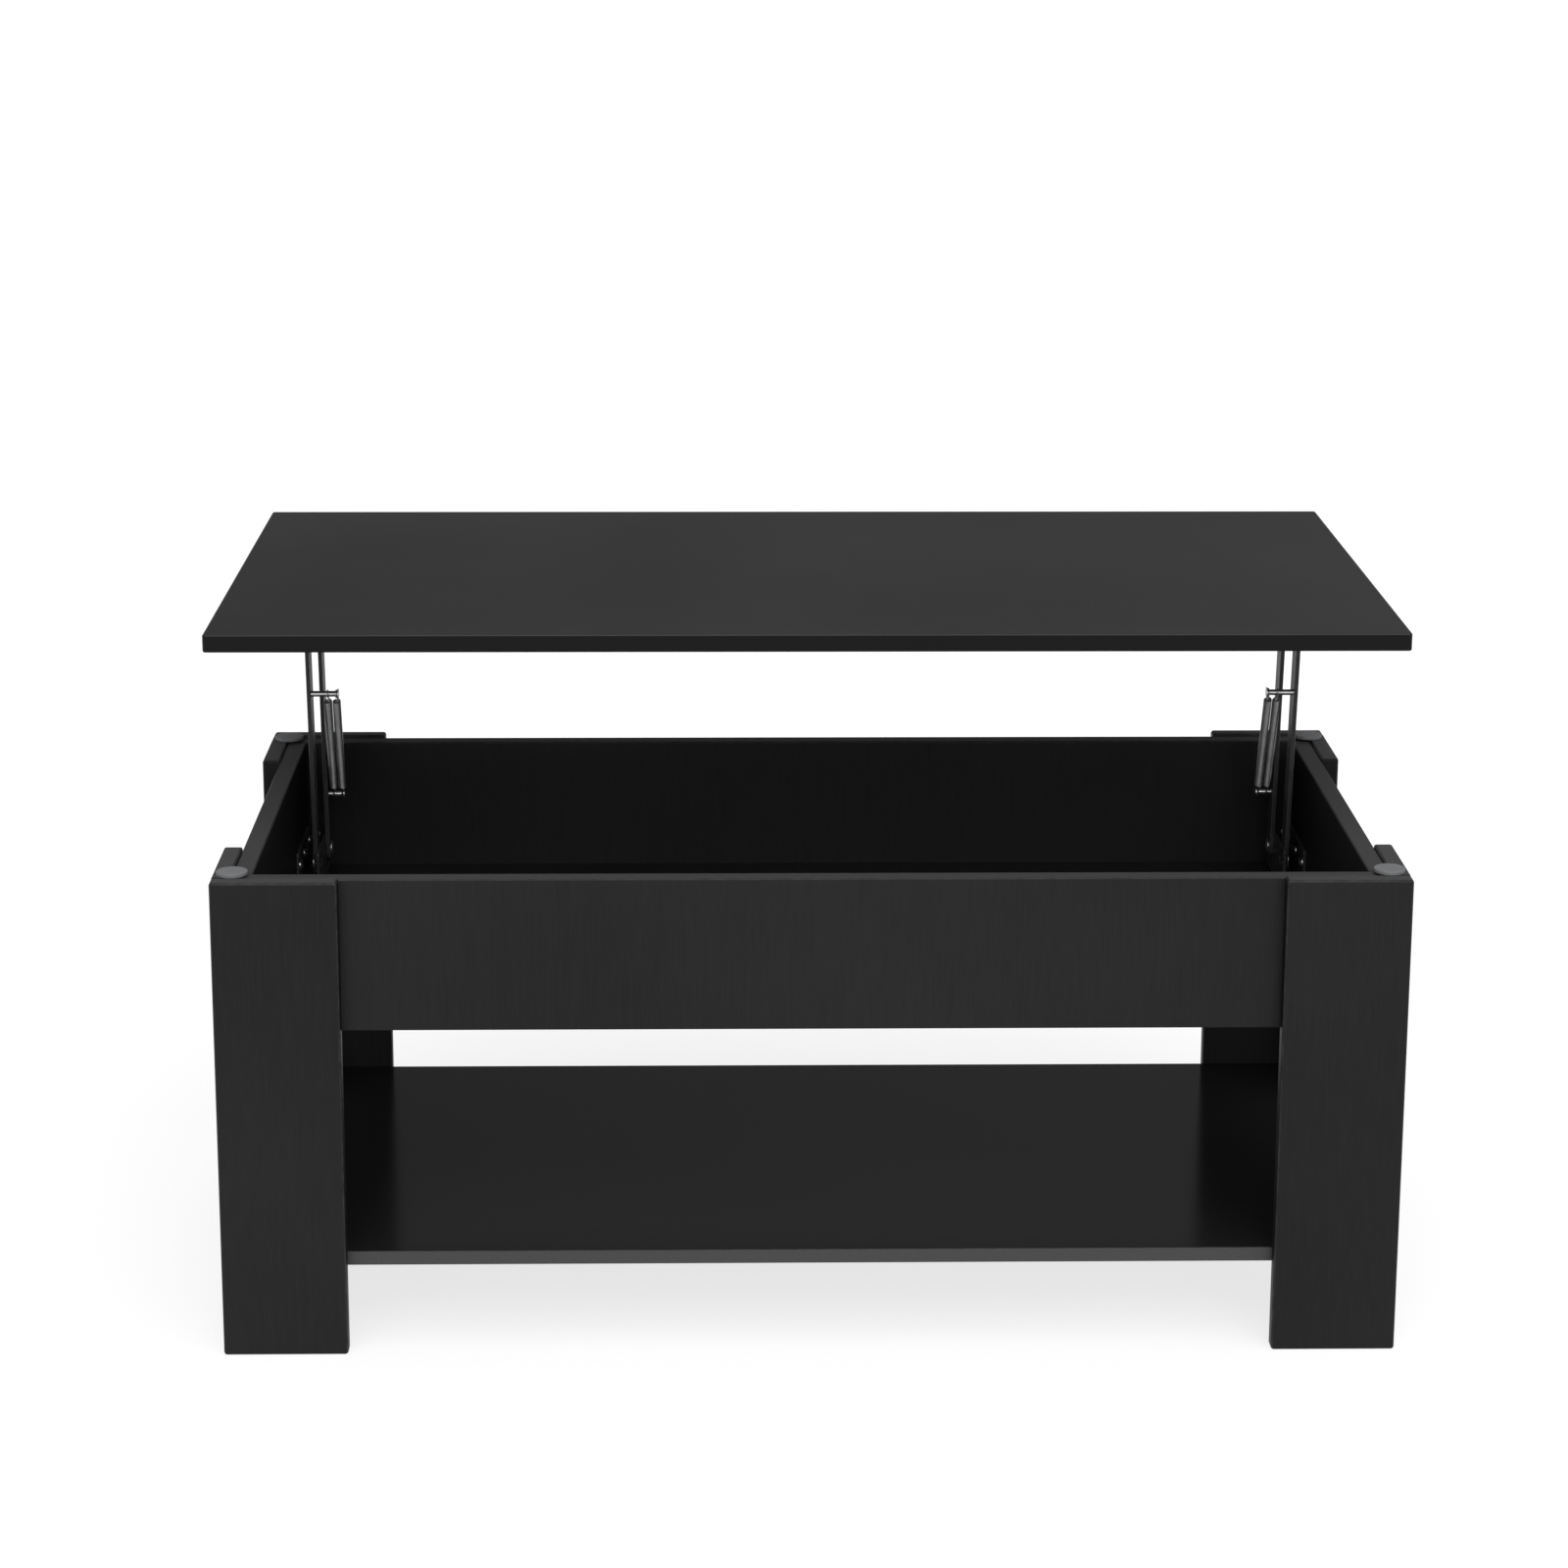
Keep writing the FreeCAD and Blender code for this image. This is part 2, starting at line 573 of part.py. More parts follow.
# ---------------------------------------------------------------- screws
def make_screws():
    """Pan-head screws: through the base brackets into the side panels, through the flanges into the lid."""
    channel_start = lower_front.y - size("channelLead")
    inset, lead = size("channelScrewInset"), size("channelLead")
    spots = (inset / 2, lead + size("pivotSpacing") / 2, size("channelLength") - inset / 2)
    z = lower_front.z - size("channelDrop") + size("channelScrewHeight")
    face = inner_line - size("sheetThickness")
    for side, sign in SIDES:
        parts = []
        for spot in spots:
            centre = V(0, channel_start + spot, z)
            parts.append([
                (at(centre, sign, face - size("screwHeadThickness")), "screwHeadRadius",
                 "screwHeadThickness", OUTWARDS[sign]),
                (at(centre, sign, face), "screwRadius", "screwLength", OUTWARDS[sign]),
            ])
        turned(f"bracket_screws_{side}", parts)
    web_start = upper_front.y - size("webMargin")
    margin, lead = size("webMargin"), size("flangeLead")
    inset, length = size("flangeScrewInset"), size("flangeLength")
    spots = (margin - lead + inset, -inset, size("pivotSpacing") + 2 * margin + inset,
             margin - lead + length - inset)
    under = lid_bottom - size("sheetThickness")
    for side, sign in SIDES:
        x = sign * (web_inner + size("flangeWidth") / 2)
        parts = []
        for spot in spots:
            y = web_start + spot
            parts.append([
                (V(x, y, under - size("screwHeadThickness")), "screwHeadRadius",
                 "screwHeadThickness", UPWARDS),
                (V(x, y, under), "screwRadius", "screwLength", UPWARDS),
            ])
        turned(f"lid_screws_{side}", parts)


make_lid()
make_legs()
make_box()
make_lid_pads()
make_base_brackets()
make_lid_brackets()
make_arms()
make_pivots()
make_stops()
make_spring_pins()
make_springs()
make_screws()
doc.recompute()

# ---------------------------------------------------------------- checks and files
for item in doc.Objects:
    if "Invalid" in item.State or "Error" in item.State:
        raise RuntimeError(f"{item.Label} failed: {item.State}")
os.makedirs("parts", exist_ok=True)
for node in nodes:
    if node.Shape.isNull() or not node.Shape.isValid():
        raise RuntimeError(f"{node.Label} has no valid shape")
    node.Shape.exportStep(f"parts/{node.Label}.step")
print(f"{len(nodes)} nodes, lid bottom {lid_bottom:.3f}, shift {lid_shift:.3f}, front {front:.3f}")
print(f"closed angle {math.degrees(closed):.4f}, travel {size('raisedAngle') - math.degrees(closed):.4f}")
for label, point in (("lower_front", lower_front), ("lower_rear", lower_rear),
                     ("upper_front", upper_front), ("upper_rear", upper_rear),
                     ("high_pin", high_pin), ("low_pin", low_pin), ("spring_line", spring_line)):
    print(label, [round(value, 4) for value in point], round(spring_span, 4))
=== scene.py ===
"""Looks of the lift top coffee table: black laminate boards, painted steel lift arms, coil springs.

Every new piece is a surface worked out from a formula with numpy, in metres, in the table's frame.
"""
import json
import math

import bpy
import numpy as np
from mathutils import Matrix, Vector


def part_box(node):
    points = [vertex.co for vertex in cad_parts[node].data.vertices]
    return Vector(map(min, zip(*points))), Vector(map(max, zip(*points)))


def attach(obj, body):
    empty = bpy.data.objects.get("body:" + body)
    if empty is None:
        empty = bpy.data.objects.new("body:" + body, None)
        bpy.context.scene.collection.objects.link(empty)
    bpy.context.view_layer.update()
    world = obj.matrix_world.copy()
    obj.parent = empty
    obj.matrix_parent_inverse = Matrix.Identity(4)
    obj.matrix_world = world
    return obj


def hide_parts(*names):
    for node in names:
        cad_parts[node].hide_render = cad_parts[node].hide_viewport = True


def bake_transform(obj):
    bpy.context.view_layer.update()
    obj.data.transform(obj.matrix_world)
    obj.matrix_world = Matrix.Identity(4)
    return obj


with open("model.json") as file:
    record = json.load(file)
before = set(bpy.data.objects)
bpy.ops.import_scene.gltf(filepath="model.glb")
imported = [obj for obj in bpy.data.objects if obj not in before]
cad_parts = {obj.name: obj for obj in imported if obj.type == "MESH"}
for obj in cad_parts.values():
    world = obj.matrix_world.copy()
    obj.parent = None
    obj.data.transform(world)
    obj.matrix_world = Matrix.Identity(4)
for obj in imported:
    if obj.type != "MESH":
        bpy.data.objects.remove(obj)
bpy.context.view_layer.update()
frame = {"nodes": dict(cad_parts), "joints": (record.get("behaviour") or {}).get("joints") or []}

MM = 0.001
TURN = 2 * math.pi
SHEET = 2 * MM
EASE = 0.2 * MM
PAD_RADIUS = 12.5 * MM
ARM_EDGE = 0.5 * MM
RIVET_RADIUS, RIVET_HEAD = 4 * MM, 1.8 * MM
PIN_RADIUS, PIN_HEAD, PIN_SPARE = 2.5 * MM, 1.5 * MM, 0.5 * MM
SPRING_WIRE, COIL_RADIUS, SPRING_SPACING = 1.2 * MM, 3.6 * MM, 7.4 * MM
SCREW_RADIUS, SCREW_HEAD = 4 * MM, 2.2 * MM
SIDES = {"left": -1, "right": 1}
X_AXIS, Y_AXIS, Z_AXIS = np.eye(3)
BOARD_STEP = np.array([0.71, 0.37, 0.13])


# ---------------------------------------------------------------- places taken from the frame
def span(node):
    """Lowest and highest corner of a CAD node, as arrays."""
    low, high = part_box(node)
    return np.array(low), np.array(high)


def turning_line(node):
    """Centre of a CAD node's box, moved sideways to the middle of the table."""
    low, high = span(node)
    return (low + high) / 2 * (Y_AXIS + Z_AXIS)


JOINTS = {joint["name"]: joint for joint in frame["joints"]}
LIFT = np.array(JOINTS["lift"]["pos_m"])
LID_PIVOT = np.array(JOINTS["lid_turn"]["pos_m"])
ARM_REACH = np.linalg.norm(LID_PIVOT - LIFT)
ARM_LINE = (LID_PIVOT - LIFT) / ARM_REACH
HIGH_PIN = np.array(JOINTS["spring_swing"]["pos_m"])
LOW_PIN = turning_line("spring_pins_low")


# ---------------------------------------------------------------- shapes
class Shape:
    """Points, faces and the normal at each point, before they become a mesh."""

    def __init__(self, points, faces, normals=None):
        self.points = np.asarray(points, float)
        self.faces = faces
        self.normals = normals

    def placed(self, axes, origin):
        """The shape with its own X, Y and Z laid along three axes, and its origin moved."""
        normals = None if self.normals is None else self.normals @ axes
        return Shape(self.points @ axes + origin, self.faces, normals)


def joined(shapes):
    """Several shapes as one, whose normals are left to the mesh."""
    points, faces, start = [], [], 0
    for shape in shapes:
        points.append(shape.points)
        faces += [tuple(index + start for index in face) for face in shape.faces]
        start += len(shape.points)
    return Shape(np.concatenate(points), faces)


def grid_faces(rows, columns):
    """Quads of a grid of points whose columns go round and close on themselves."""
    row = np.arange(rows - 1)[:, None]
    column = np.arange(columns)[None, :]
    beside = (column + 1) % columns
    quads = np.stack(
        [row * columns + column, row * columns + beside,
         (row + 1) * columns + beside, (row + 1) * columns + column], axis=-1)
    return [tuple(quad) for quad in quads.reshape(-1, 4).tolist()]


def capped(rows, columns):
    """A ring grid's quads with a flat face over its first and its last row."""
    first = tuple(range(columns - 1, -1, -1))
    last = tuple(range((rows - 1) * columns, rows * columns))
    return grid_faces(rows, columns) + [first, last]


def rounded_block(half, corner, edge, steps=4):
    """A block with rounded upright corners and eased rims, centred on the origin.

    A turn u goes round Z and a tilt v goes from straight down to straight up. The point is the
    corner centre of u's quarter, plus (corner - edge + edge cos v) along u, and edge sin v above
    or below the flat side. The normal is the direction (u, v) itself.
    """
    quarter = np.linspace(0, TURN / 4, steps + 1)
    u = np.concatenate([quarter + k * TURN / 4 for k in range(4)])
    sign_x = np.repeat([1, -1, -1, 1], steps + 1)
    sign_y = np.repeat([1, 1, -1, -1], steps + 1)
    tilt = np.linspace(0, TURN / 4, steps + 1)
    v = np.concatenate([tilt - TURN / 4, tilt])[:, None]
    sign_z = np.repeat([-1, 1], steps + 1)[:, None]
    reach = corner - edge + edge * np.cos(v)
    points = np.stack([
        sign_x * (half[0] - corner) + reach * np.cos(u),
        sign_y * (half[1] - corner) + reach * np.sin(u),
        sign_z * (half[2] - edge) + edge * np.sin(v) + 0 * u,
    ], axis=-1)
    normals = np.stack([np.cos(v) * np.cos(u), np.cos(v) * np.sin(u), np.sin(v) + 0 * u], axis=-1)
    rows, columns = len(v), len(u)
    return Shape(points.reshape(-1, 3), capped(rows, columns), normals.reshape(-1, 3))


def turned(profile, steps=32):
    """A profile of (radius, height) points carried round Z, closed by flat ends."""
    radius, height = np.array(profile, float).T
    u = np.arange(steps) * TURN / steps
    points = np.stack([
        radius[:, None] * np.cos(u), radius[:, None] * np.sin(u), height[:, None] + 0 * u,
    ], axis=-1)
    return Shape(points.reshape(-1, 3), capped(len(radius), steps))


def arc(centre, radius, start, end, steps=5):
    """Points of a (radius, height) profile on a round stretch between two angles in degrees."""
    angles = np.radians(np.linspace(start, end, steps))
    return [(centre[0] + radius * math.cos(a), centre[1] + radius * math.sin(a)) for a in angles]


def wire(path, radius, reference, sides=7):
    """A round wire along a path: each ring is square to the path, and starts towards reference."""
    along = np.gradient(path, axis=0)
    along /= np.linalg.norm(along, axis=1)[:, None]
    out = reference - (reference * along).sum(1)[:, None] * along
    out /= np.linalg.norm(out, axis=1)[:, None]
    side = np.cross(along, out)
    u = (np.arange(sides) * TURN / sides)[None, :, None]
    rings = path[:, None] + radius * (np.cos(u) * out[:, None] + np.sin(u) * side[:, None])
    return Shape(rings.reshape(-1, 3), capped(len(path), sides))


# ---------------------------------------------------------------- pieces
def add_piece(name, shape, material, body, nodes, sharp=40, fields=None):
    """Make the mesh, give it its normals, its fields and its finish, and hang it on its body."""
    mesh = bpy.data.meshes.new(name)
    mesh.from_pydata(shape.points.tolist(), [], shape.faces)
    mesh.update()
    mesh.shade_smooth()
    if shape.normals is not None:
        mesh.normals_split_custom_set_from_vertices(shape.normals.tolist())
    else:
        mesh.set_sharp_from_angle(angle=math.radians(sharp))
    for field, values in (fields or {}).items():
        attribute = mesh.attributes.new(field, "FLOAT_VECTOR", "POINT")
        attribute.data.foreach_set("vector", values.astype(np.float32).ravel())
    mesh.materials.append(material)
    piece = bpy.data.objects.new(name, mesh)
    bpy.context.scene.collection.objects.link(piece)
    if body:
        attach(piece, body)
    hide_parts(*nodes)
    return piece


def axes_for(grain, thick):
    """Axes that lay a block's own X along the grain and its own Z through the board."""
    third = np.cross(thick, grain)
    return np.array([grain, third, thick])


def add_board(name, node, body, material, grain, thick, corner, edge, number):
    """A board in the place of its CAD node.

    The field grain is the point in the board's own axes, moved on from one board to the next. The
    field facing is the normal in the same axes: X to the ends, which cut across the grain, Y to
    the edges along it, and Z to the faces.
    """
    low, high = span(node)
    axes = axes_for(grain, thick)
    half = np.abs(axes @ ((high - low) / 2))
    block = rounded_block(half, corner, edge)
    local = block.points + BOARD_STEP * number
    shape = block.placed(axes, (low + high) / 2)
    add_piece(name, shape, material, body, [node],
              fields={"grain": local, "facing": block.normals})


# ---------------------------------------------------------------- shader maths
class Value:
    """A socket, with arithmetic that adds Math nodes to its tree."""

    def __init__(self, tree, socket):
        self.tree, self.socket = tree, socket

    def _math(self, operation, *inputs):
        made = self.tree.node("ShaderNodeMath", {"operation": operation}, dict(enumerate(inputs)))
        return made["Value"]

    def __add__(self, other): return self._math("ADD", self, other)
    def __radd__(self, other): return self._math("ADD", other, self)
    def __sub__(self, other): return self._math("SUBTRACT", self, other)
    def __rsub__(self, other): return self._math("SUBTRACT", other, self)
    def __mul__(self, other): return self._math("MULTIPLY", self, other)

    def clipped(self):
        """The value held between 0 and 1."""
        return self._math("MINIMUM", self._math("MAXIMUM", self, 0.0), 1.0)

    def near(self, centre, width):
        """1 at the centre, falling to 0 a width away on either side."""
        return (1 - self._math("ABSOLUTE", self - centre) * (1 / width)).clipped()


class Outputs:
    """A node's outputs by name, as values."""

    def __init__(self, tree, node):
        self.tree, self.made = tree, node

    def __getitem__(self, name):
        return Value(self.tree, self.made.outputs[name])


class NodeTree:
    """A node tree, with one method that adds any node."""

    def __init__(self, tree):
        self.nodes, self.links = tree.nodes, tree.links

    def node(self, kind, settings=None, inputs=None):
        """Add a node: its settings first, then a value or a link for each input socket."""
        made = self.nodes.new(kind)
        for key, setting in (settings or {}).items():
            if key == "stops":
                self._stops(made.color_ramp, setting)
            else:
                setattr(made, key, setting)
        for key, item in (inputs or {}).items():
            self.plug(made.inputs[key], item)
        return Outputs(self, made)

    def _stops(self, ramp, stops):
        while len(ramp.elements) < len(stops):
            ramp.elements.new(0.5)
        for element, (place, shade) in zip(ramp.elements, stops):
            element.position = place
            element.color = (shade, shade, shade, 1)

    def plug(self, socket, item):
        """Link a value to a socket, or set the socket's own number or colour."""
        if isinstance(item, Value):
            self.links.new(item.socket, socket)
        elif socket.type == "RGBA":
            socket.default_value = (*item, 1)
        else:
            socket.default_value = item

    def field(self, name):
        """A vector field stored on the piece's points."""
        return self.node("ShaderNodeAttribute", {"attribute_name": name})["Vector"]

    def split(self, vector):
        """A vector's X, Y and Z, by name."""
        return self.node("ShaderNodeSeparateXYZ", {}, {"Vector": vector})

    def place(self, source, scale):
        """Coordinates stretched by a scale along each axis."""
        return self.node("ShaderNodeMapping", {}, {"Vector": source, "Scale": scale})["Vector"]

    def noise(self, where, scale, detail, roughness):
        """Cloudy noise from 0 to 1."""
        settings = {"Vector": where, "Scale": scale, "Detail": detail, "Roughness": roughness}
        return self.node("ShaderNodeTexNoise", {}, settings)["Fac"]

    def blend(self, factor, one, other):
        """A colour between two colours."""
        sockets = {"Factor": factor, 6: one, 7: other}
        mixed = self.node("ShaderNodeMix", {"data_type": "RGBA"}, sockets)
        return Value(self, mixed.made.outputs[2])

    def bump(self, height, strength, distance):
        """A normal pushed about by a height."""
        sockets = {"Height": height, "Strength": strength, "Distance": distance}
        return self.node("ShaderNodeBump", {}, sockets)["Normal"]


class Finish(NodeTree):
    """A material and its surface shader."""

    def __init__(self, name):
        self.material = bpy.data.materials.new(name)
        self.material.use_nodes = True
        super().__init__(self.material.node_tree)
        self.surface = self.nodes["Principled BSDF"]

    def paint(self, **sockets):
        """Set or link the surface's sockets, whose names have underscores for spaces."""
        for name, item in sockets.items():
            self.plug(self.surface.inputs[name.replace("_", " ")], item)
        return self.material


def grey(shade):
    """A nearly neutral colour."""
    return (shade, shade, 1.01 * shade)


def laminate(name, face, ends, edges, rims, gloss, under_gloss, grain_depth, specular):
    """Black printed foil on board: grain pores, plain edge bands in painted light and shade, worn
    rims.

    The shades are those of the faces, of the ends across the grain, of the edges along it and of
    the rims. The ends and edges are painted light and shade, lighter or darker for how light falls
    on them, and the rims' lighter shade is both wear and a painted highlight. A face that looks down
    has its own gloss. The fields grain and facing come with the board.
    """
    finish = Finish(name)
    grain = finish.field("grain")
    facing = finish.split(finish.field("facing"))
    end, edge = facing["X"] * facing["X"], facing["Y"] * facing["Y"]
    band = end + edge
    fibre_scale, pore_scale = (7, 220, 220), (45, 1300, 1300)
    fibres = finish.noise(finish.place(grain, fibre_scale), 4.0, 4.0, 0.62)
    pores = finish.noise(finish.place(grain, pore_scale), 1.0, 2.0, 0.5)
    cloud = finish.noise(grain, 5.0, 3.0, 0.5)
    tone = 0.5 + (fibres - 0.5) * 0.8 + (cloud - 0.5) * 0.6 - (pores - 0.62).clipped() * 1.4
    colour = finish.blend(tone.clipped(), grey(0.55 * face), grey(1.45 * face))
    speck = ((finish.noise(grain, 800.0, 2.0, 0.6) - 0.5) * 1.6 + 0.5).clipped()
    # Painted light and shade on the narrow faces: lighter on tops lit from above, darker on sides in
    # shade.
    band_light_and_shade = finish.blend(end.near(1.0, 0.5), grey(edges), grey(ends))
    band_light_and_shade = finish.blend(speck, finish.blend(0.4, band_light_and_shade, grey(0)), band_light_and_shade)
    colour = finish.blend(band.near(1.0, 0.3), colour, band_light_and_shade)
    # Patchy wear on the eased rims. Their lighter shade is also a painted highlight along the
    # rounded edges.
    rim_wear_and_sheen = (finish.noise(grain, 90.0, 4.0, 0.7) * 2.2 - 0.75) * band.near(0.5, 0.45)
    colour = finish.blend(rim_wear_and_sheen.clipped() * 0.6, colour, grey(rims))
    under = (0 - facing["Z"]).clipped() * (under_gloss - gloss)
    roughness = gloss + under + (cloud - 0.5) * 0.1 + (fibres - 0.5) * 0.1 + band * 0.06
    height = fibres * 0.6 + pores * 0.4
    return finish.paint(
        Base_Color=colour, Roughness=roughness.clipped(), Specular_IOR_Level=specular,
        Normal=finish.bump(height, grain_depth, 0.0004))


def painted_steel(name):
    """Satin black paint on pressed steel, with a faint orange-peel skin.

    Where a piece has the field facing, its eased rims are worn bright in places.
    """
    finish = Finish(name)
    where = finish.node("ShaderNodeTexCoord")["Object"]
    facing = finish.split(finish.field("facing"))
    rim = (facing["X"] * facing["X"] + facing["Y"] * facing["Y"]).near(0.5, 0.48)
    peel = finish.noise(where, 900.0, 2.0, 0.5)
    patches = finish.noise(where, 45.0, 4.0, 0.6)
    worn = (rim * (finish.noise(where, 160.0, 4.0, 0.7) * 1.8 - 0.4)).clipped()
    colour = finish.blend(patches, (0.012, 0.012, 0.013), (0.03, 0.03, 0.032))
    colour = finish.blend(worn, colour, (0.22, 0.22, 0.225))
    return finish.paint(
        Base_Color=colour, Metallic=worn * 0.6, Roughness=0.46 + patches * 0.14 - worn * 0.12,
        Specular_IOR_Level=0.3, Normal=finish.bump(peel, 0.12, 0.0003))


def bare_steel(name, dark, light, roughness, scale):
    """Plated or drawn steel, with fine streaks and slightly uneven brightness."""
    finish = Finish(name)
    where = finish.node("ShaderNodeTexCoord")["Object"]
    streaks = finish.noise(finish.place(where, (1, 1, 8)), scale, 3.0, 0.6)
    patches = finish.noise(where, 60.0, 4.0, 0.6)
    colour = finish.blend((streaks * 0.5 + patches * 0.5).clipped(), dark, light)
    return finish.paint(
        Base_Color=colour, Metallic=1.0, Roughness=roughness + streaks * 0.12,
        Normal=finish.bump(streaks, 0.05, 0.0002))


def soft_pad(name):
    """Matt dark grey foam rubber with a fine pebbled skin."""
    finish = Finish(name)
    where = finish.node("ShaderNodeTexCoord")["Object"]
    pebbles = finish.noise(where, 1400.0, 3.0, 0.6)
    patches = finish.noise(where, 80.0, 3.0, 0.5)
    colour = finish.blend(patches, (0.075, 0.077, 0.08), (0.12, 0.122, 0.126))
    return finish.paint(
        Base_Color=colour, Roughness=0.78 + patches * 0.1,
        Normal=finish.bump(pebbles, 0.3, 0.0003))


# Painted light and shade: ends makes the tops of the legs and the box lighter, as if lit from above;
# the legs' dark edges are their sides in shade; rims is wear with a painted highlight.
LEGS = laminate("leg_satin_laminate", face=0.0105, ends=0.05, edges=0.006, rims=0.07, gloss=0.42,
                under_gloss=0.42, grain_depth=0.12, specular=0.08)
BOX = laminate("box_satin_laminate", face=0.0105, ends=0.042, edges=0.03, rims=0.06, gloss=0.42,
               under_gloss=0.42, grain_depth=0.12, specular=0.09)
LID = laminate("lid_gloss_laminate", face=0.0125, ends=0.002, edges=0.002, rims=0.006, gloss=0.13,
               under_gloss=0.5, grain_depth=0.02, specular=0.14)
SHELF = laminate("shelf_gloss_laminate", face=0.0085, ends=0.05, edges=0.052, rims=0.07,
                 gloss=0.16, under_gloss=0.45, grain_depth=0.02, specular=0.12)
STEEL = painted_steel("black_painted_steel")
SPRING = bare_steel("oiled_spring_steel", (0.13, 0.13, 0.132), (0.42, 0.42, 0.43), 0.34, 700.0)
ZINC = bare_steel("bright_zinc_steel", (0.28, 0.28, 0.285), (0.55, 0.55, 0.56), 0.3, 500.0)
FOAM = soft_pad("dark_grey_foam_pad")


# ---------------------------------------------------------------- boards
def make_boards():
    """The lid, the L-shaped legs, the box and the shelf.

    A row of the plan has the node, its body, its finish, its slot, the way of its grain, the way
    through the board, and the rounds of its corners and its rims in millimetres.
    """
    plan = [
        ("lid", "lid", LID, "lid_black", X_AXIS, Z_AXIS, 3.0, 1.5),
        ("shelf", "base", SHELF, "shelf_black", X_AXIS, Z_AXIS, 1.3, 1.0),
        ("box_floor", "base", SHELF, "shelf_black", X_AXIS, Z_AXIS, 1.3, 1.0),
    ]
    for depth in ("front", "back"):
        plan.append((f"apron_{depth}", "base", BOX, "board_satin_black", Z_AXIS, Y_AXIS, 1.6, 1.4))
        for side in SIDES:
            plan.append((f"leg_face_{depth}_{side}", "base", LEGS, "board_satin_black",
                         Z_AXIS, Y_AXIS, 2.6, 2.4))
            plan.append((f"leg_side_{depth}_{side}", "base", LEGS, "board_satin_black",
                         Z_AXIS, X_AXIS, 2.2, 2.0))
    for side in SIDES:
        plan.append((f"side_panel_{side}", "base", BOX, "board_satin_black",
                     Z_AXIS, X_AXIS, 1.6, 1.4))
    for number, (node, body, material, slot, grain, thick, corner, edge) in enumerate(plan, 1):
        add_board(f"{node}_board", node, body, material, grain, thick,
                  corner * MM, edge * MM, number)


def make_lid_pads():
    """Round foam pads with a softly crowned top, one on each leg."""
    low, high = span("lid_pads")
    radius, height, rim, crown = PAD_RADIUS, high[2] - low[2], 1.0 * MM, 0.15 * MM
    profile = [(radius - EASE, 0), (radius, EASE)]
    profile += arc((radius - rim, height - crown - rim), rim, 0, 80)
    profile += [(radius * 0.5, height - crown / 5), (radius * 0.15, height)]
    disc = turned(profile, 48)
    discs = []
    for x in (low[0] + radius, high[0] - radius):
        for y in (low[1] + radius, high[1] - radius):
            discs.append(disc.placed(np.eye(3), np.array([x, y, low[2]])))
    add_piece("lid_pad_discs", joined(discs), FOAM, "base", ["lid_pads"])


# ---------------------------------------------------------------- lift linkage
def make_arms():
    """Flat steel bars with round ends and eased rims, between their two pivots."""
    rear_shift = np.array(JOINTS["rear_arm_turn"]["pos_m"]) - LIFT
    for kind, shift, body in (("front", 0 * rear_shift, "front_arms"),
                              ("rear", rear_shift, "rear_arms")):
        for side in SIDES:
            node = f"{kind}_arm_{side}"
            low, high = span(node)
            half_width = (high[2] - low[2] - ARM_REACH * ARM_LINE[2]) / 2
            half = (ARM_REACH / 2 + half_width, half_width, (high[0] - low[0]) / 2)
            bar = rounded_block(half, half_width - 0.01 * MM, ARM_EDGE, steps=8)
            centre = (LIFT + LID_PIVOT) / 2 + shift + X_AXIS * (low[0] + high[0]) / 2
            shape = bar.placed(axes_for(ARM_LINE, X_AXIS), centre)
            add_piece(f"{node}_bar", shape, STEEL, body, [node],
                      fields={"facing": bar.normals})


def rivet(radius, head_radius, shaft, head):
    """A shaft from the origin up Z with a domed head on top and a shallow dimple in the dome."""
    top, half, dimple = shaft + head, head / 2, 0.45 * MM
    profile = [(radius, 0), (radius, shaft), (head_radius - 1.5 * EASE, shaft),
               (head_radius, shaft + EASE), (head_radius, shaft + half)]
    profile += [(head_radius * math.cos(a), shaft + half + half * math.sin(a))
                for a in np.radians([25, 50, 70])]
    profile += [(head_radius * 0.3, top), (head_radius * 0.22, top - dimple + EASE / 2),
                (head_radius * 0.05, top - dimple)]
    return turned(profile)


def across_axes(sign, way):
    """Axes that lay a turned piece's Z along X, outwards (way 1) or inwards (-1) on its side."""
    return axes_for(Z_AXIS, X_AXIS * sign * way)


def make_pivots():
    """Domed rivets in the bracket webs: heads outside the front arms and inside the rear arms."""
    plan = (("lower_front_pivots", "base", 1), ("lower_rear_pivots", "base", -1),
            ("upper_front_pivots", "lid", 1), ("upper_rear_pivots", "lid", -1))
    web_inner = span("lid_bracket_right")[0][0]
    web_outer = web_inner + SHEET
    front_arm, rear_arm = span("front_arm_right"), span("rear_arm_right")
    gap = front_arm[0][0] - web_outer
    for node, body, way in plan:
        low, high = span(node)
        centre = turning_line(node)
        head_radius = (high[2] - low[2]) / 2
        start = web_inner if way > 0 else web_outer
        shaft = front_arm[1][0] + gap - start if way > 0 else start - rear_arm[0][0] + gap
        shape = rivet(RIVET_RADIUS, head_radius, shaft, RIVET_HEAD)
        parts = [shape.placed(across_axes(sign, way), centre + X_AXIS * sign * start)
                 for sign in SIDES.values()]
        add_piece(f"{node}_rivets", joined(parts), ZINC, body, [node])


